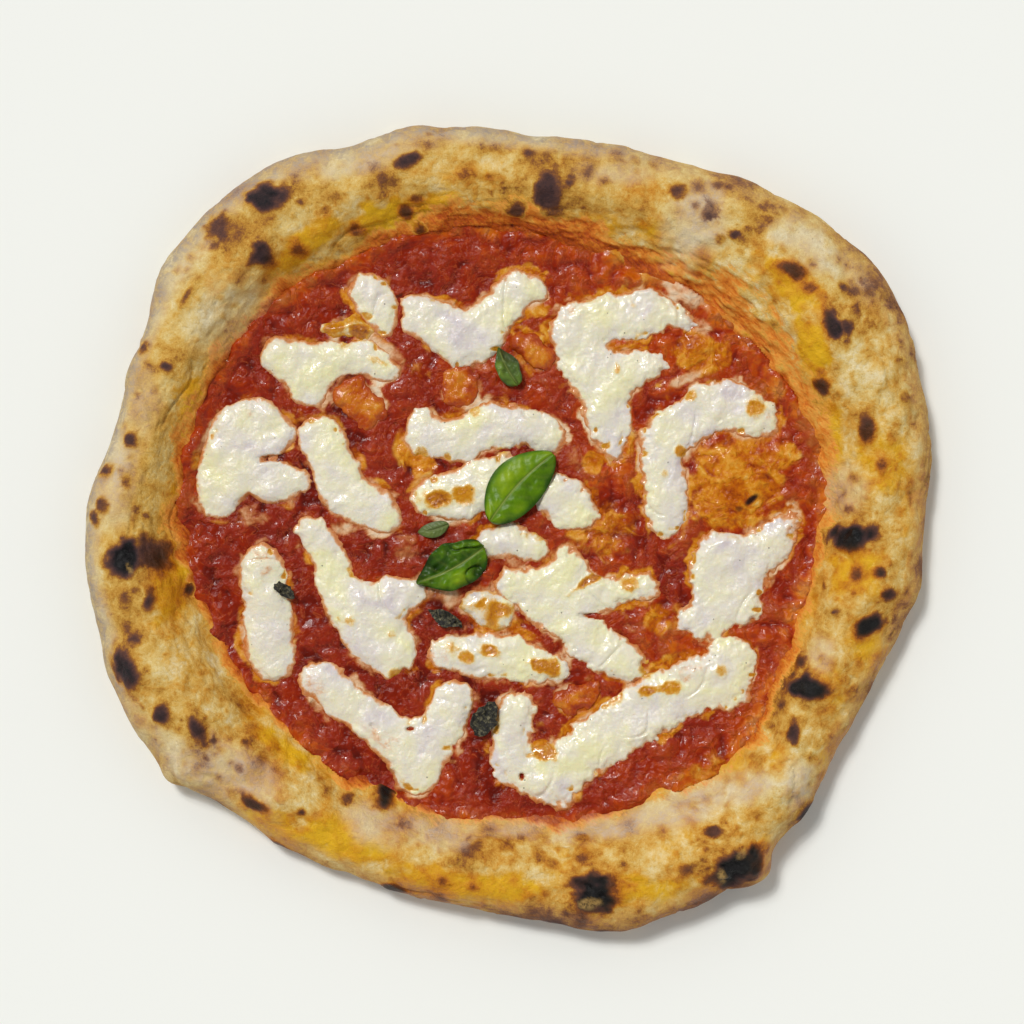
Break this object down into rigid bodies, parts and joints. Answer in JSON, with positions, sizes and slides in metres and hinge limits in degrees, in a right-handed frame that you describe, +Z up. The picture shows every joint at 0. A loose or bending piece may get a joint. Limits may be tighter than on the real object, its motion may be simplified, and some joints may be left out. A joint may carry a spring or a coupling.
{
  "type": "margherita pizza",
  "caption": "Whole uncut margherita pizza with a high blistered rim, tomato sauce, melted torn mozzarella and basil leaves.",
  "frame": {"origin": "centre of the outline's bounding box, on the underside that the pizza rests on", "axes": "+Z up out of the toppings; +Y towards the picture's top edge; +X towards the picture's right edge"},
  "size_m": [0.3206, 0.3056, 0.028],
  "materials": {
    "crust": "baked wheat dough, matte, dusted with flour, charred in spots",
    "sauce": "cooked tomato, wet",
    "tomato": "peeled tomato flesh, wet and oily",
    "mozzarella": "melted fresh cheese, oily sheen",
    "basil": "fresh leaf, satin",
    "charred_basil": "burnt leaf, crisp"
  },
  "bodies": {
    "root": {"crust": "crust", "sauce": "sauce", "tomato_piece_left": "tomato", "tomato_piece_top": "tomato", "tomato_piece_by_basil": "tomato", "tomato_piece_bottom": "tomato", "mozzarella_top_left": "mozzarella", "mozzarella_top": "mozzarella", "mozzarella_left_upper": "mozzarella", "mozzarella_browned_upper": "mozzarella", "mozzarella_left": "mozzarella", "mozzarella_left_long": "mozzarella", "mozzarella_left_lower": "mozzarella", "mozzarella_far_left": "mozzarella", "mozzarella_bottom_left": "mozzarella", "mozzarella_centre_upper": "mozzarella", "mozzarella_centre": "mozzarella", "mozzarella_right_of_centre": "mozzarella", "mozzarella_below_centre": "mozzarella", "mozzarella_right_upper": "mozzarella", "mozzarella_right": "mozzarella", "mozzarella_right_lower": "mozzarella", "mozzarella_diagonal": "mozzarella", "mozzarella_sweep": "mozzarella", "mozzarella_lower": "mozzarella", "mozzarella_browned_lower": "mozzarella", "basil_leaf_large": "basil", "basil_leaf_left": "basil", "basil_sliver_top": "basil", "basil_wilted": "basil", "basil_charred_left": "charred_basil", "basil_charred_middle": "charred_basil", "basil_charred_bottom": "charred_basil"}
  },
  "joints": []
}
